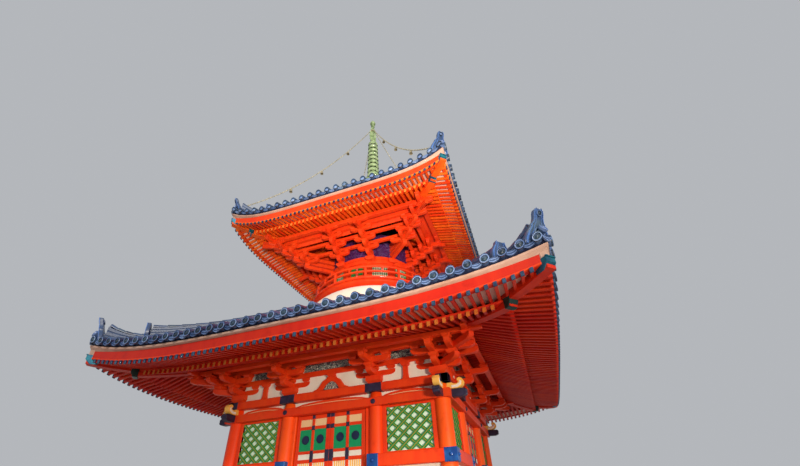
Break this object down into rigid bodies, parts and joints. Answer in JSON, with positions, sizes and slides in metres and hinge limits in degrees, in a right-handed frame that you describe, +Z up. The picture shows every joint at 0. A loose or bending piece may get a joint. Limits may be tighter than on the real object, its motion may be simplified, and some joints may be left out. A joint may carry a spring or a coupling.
{
  "type": "two-storey treasure pagoda",
  "caption": "Vermilion timber pagoda: square bayed lower storey with hinged doors, white dome, round drum, two tiled roofs and a bronze finial.",
  "frame": {"origin": "centre of the podium's underside, at ground level", "axes": "+Z up; the front doors and the steps face -Y; +X to the right when facing the front"},
  "size_m": [9.1202, 9.3601, 16],
  "materials": {
    "vermilion": "satin vermilion paint on timber",
    "plaster": "matte lime plaster",
    "stone": "dressed granite",
    "bare_timber": "weathered bare timber",
    "white_board": "matte white paint on board",
    "roof_tile": "smoked blue-grey clay",
    "bronze": "pale green patina"
  },
  "bodies": {
    "root": {"podium": "stone", "plaster_mound": "plaster", "veranda": "bare_timber", "wooden_steps": "bare_timber", "floor": "bare_timber", "column_front_corner": "vermilion", "column_front_left": "vermilion", "column_front_right": "vermilion", "column_right_corner": "vermilion", "column_right_left": "vermilion", "column_right_right": "vermilion", "column_back_corner": "vermilion", "column_back_left": "vermilion", "column_back_right": "vermilion", "column_left_corner": "vermilion", "column_left_left": "vermilion", "column_left_right": "vermilion", "floor_rail": "vermilion", "head_rail": "vermilion", "waist_rail_front_corner": "vermilion", "waist_rail_right_corner": "vermilion", "waist_rail_back_corner": "vermilion", "waist_rail_left_corner": "vermilion", "wall_front_left": "plaster", "wall_front_right": "plaster", "wall_right_left": "plaster", "wall_right_right": "plaster", "wall_back_left": "plaster", "wall_back_right": "plaster", "wall_left_left": "plaster", "wall_left_right": "plaster", "doors_back": "vermilion", "doors_left": "vermilion", "head_plate_front": "vermilion", "head_plate_right": "vermilion", "head_plate_back": "vermilion", "head_plate_left": "vermilion", "lower_brackets_front": "vermilion", "lower_brackets_right": "vermilion", "lower_brackets_back": "vermilion", "lower_brackets_left": "vermilion", "upper_brackets_front": "vermilion", "upper_brackets_right": "vermilion", "upper_brackets_back": "vermilion", "upper_brackets_left": "vermilion", "lower_eave": "vermilion", "lower_roof": "roof_tile", "dome": "plaster", "balcony": "vermilion", "balcony_railing": "vermilion", "drum": "plaster", "upper_eave": "vermilion", "upper_roof": "roof_tile", "finial_base": "bronze", "finial_spire": "bronze", "finial_chains": "bronze"},
    "door_front_left": {"door_front_left": "vermilion"},
    "door_front_right": {"door_front_right": "vermilion"},
    "door_right_left": {"door_right_left": "vermilion"},
    "door_right_right": {"door_right_right": "vermilion"}
  },
  "joints": [
    {"name": "door_front_left_hinge", "type": "hinge", "parent": "root", "child": "door_front_left", "pos_m": [-0.719, -2.25, 2.3175], "axis": [0, 0, -1], "range_deg": [0, 95]},
    {"name": "door_front_right_hinge", "type": "hinge", "parent": "root", "child": "door_front_right", "pos_m": [0.719, -2.25, 2.3175], "axis": [0, 0, 1], "range_deg": [0, 95]},
    {"name": "door_right_left_hinge", "type": "hinge", "parent": "root", "child": "door_right_left", "pos_m": [2.25, -0.719, 2.3175], "axis": [0, 0, -1], "range_deg": [0, 95]},
    {"name": "door_right_right_hinge", "type": "hinge", "parent": "root", "child": "door_right_right", "pos_m": [2.25, 0.719, 2.3175], "axis": [0, 0, 1], "range_deg": [0, 95]}
  ]
}
